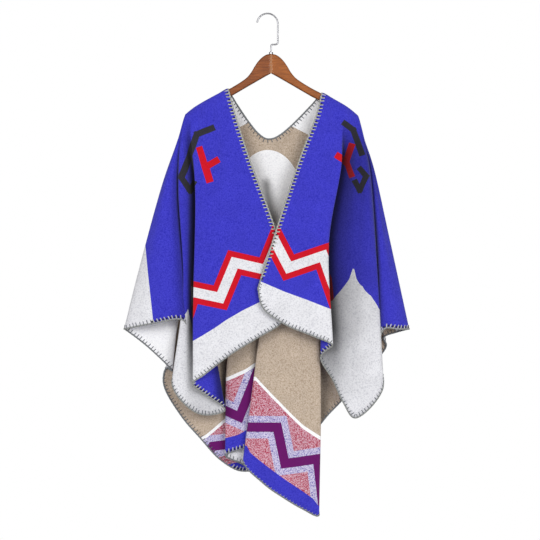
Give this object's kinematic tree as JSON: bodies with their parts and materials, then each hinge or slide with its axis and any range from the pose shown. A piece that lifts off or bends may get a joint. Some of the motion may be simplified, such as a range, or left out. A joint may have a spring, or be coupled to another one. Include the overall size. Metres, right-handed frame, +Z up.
{
  "type": "ruana wrap on a hanger",
  "caption": "Open-front blanket wrap with rounded corners, worn over the shoulders, hung on a wooden coat hanger with a wire hook.",
  "frame": {"origin": "inner top of the hook's crook, where the rod bears when the hanger hangs", "axes": "+Z up, X across the shoulders to the right as seen from the front, +Y from the front to the back"},
  "size_m": [0.642, 0.1005, 1.1305],
  "materials": {
    "blanket_cloth": "double-faced brushed blanket weave",
    "hanger_wood": "stained and lacquered",
    "hook_wire": "bright plated wire"
  },
  "bodies": {
    "root": {"front_left": "blanket_cloth", "front_right": "blanket_cloth", "back": "blanket_cloth", "hanger_arm_left": "hanger_wood", "hanger_arm_right": "hanger_wood", "hanger_hook": "hook_wire", "hook_collar": "hook_wire"}
  },
  "joints": []
}
